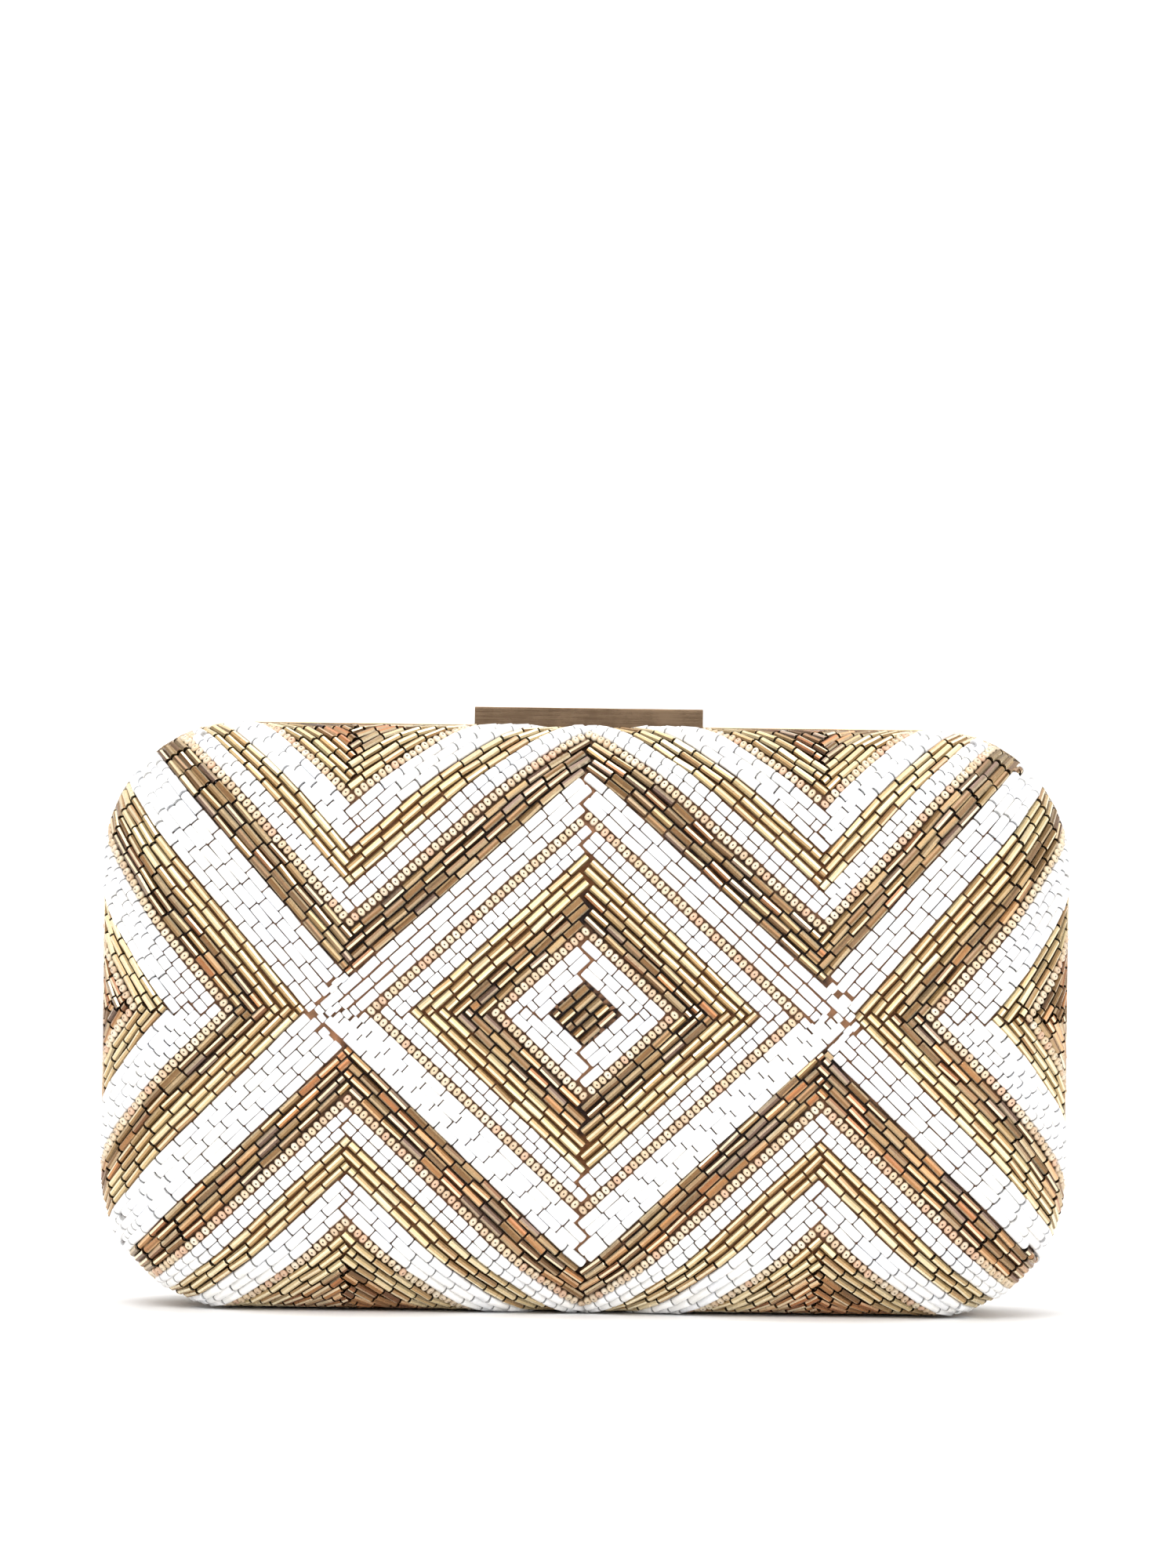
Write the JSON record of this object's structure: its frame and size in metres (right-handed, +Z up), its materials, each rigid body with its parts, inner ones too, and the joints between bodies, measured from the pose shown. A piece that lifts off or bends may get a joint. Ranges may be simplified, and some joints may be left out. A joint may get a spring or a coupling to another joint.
{
  "type": "evening bag",
  "caption": "Hard box clutch with two beaded domed halves in a metal frame, hinged along the base and closed by a sprung lift bar on top.",
  "frame": {"origin": "centre of the closed bag's base, midway between the front and rear faces, on the surface it stands on", "axes": "+X along the width, to the right seen from the front; +Y from the front panel to the rear panel; +Z up to the clasp"},
  "size_m": [0.21, 0.05, 0.1312],
  "materials": {
    "beadwork": "gloss",
    "padding": "matte",
    "shell": "matte",
    "satin_lining": "satin",
    "steel": "satin",
    "gold_metal": "polished"
  },
  "bodies": {
    "front_half": {"front_rail": "gold_metal", "front_beaded_panel": "beadwork", "front_padding": "padding", "front_shell": "shell", "front_lining": "satin_lining", "hinge_leaf_front_left": "steel", "hinge_leaf_front_right": "steel", "hinge_pin_left": "steel", "hinge_pin_right": "steel", "hinge_rivet_front_left_1": "steel", "hinge_rivet_front_left_2": "steel", "hinge_rivet_front_right_1": "steel", "hinge_rivet_front_right_2": "steel", "striker_plate": "gold_metal", "striker_rivet_1": "gold_metal", "striker_rivet_2": "gold_metal"},
    "rear_half": {"rear_rail": "gold_metal", "rear_beaded_panel": "beadwork", "rear_padding": "padding", "rear_shell": "shell", "rear_lining": "satin_lining", "slip_pocket": "satin_lining", "hinge_leaf_rear_left": "steel", "hinge_leaf_rear_right": "steel", "hinge_rivet_rear_left_1": "steel", "hinge_rivet_rear_left_2": "steel", "hinge_rivet_rear_right_1": "steel", "hinge_rivet_rear_right_2": "steel", "clasp_base": "gold_metal", "clasp_base_rivet_1": "gold_metal", "clasp_base_rivet_2": "gold_metal", "clasp_pin": "steel", "clasp_spring": "steel"},
    "clasp": {"clasp_bar": "gold_metal"}
  },
  "joints": [
    {"name": "opening", "type": "hinge", "parent": "front_half", "child": "rear_half", "pos_m": [0, 0, 0.0012], "axis": [-1, 0, 0], "range_deg": [0, 55]},
    {"name": "clasp_lift", "type": "hinge", "parent": "rear_half", "child": "clasp", "pos_m": [0, 0.0025, 0.12935], "axis": [-1, 0, 0], "range_deg": [0, 22], "stiffness_Nm_per_rad": 0.02, "springref_deg": -20.05}
  ]
}
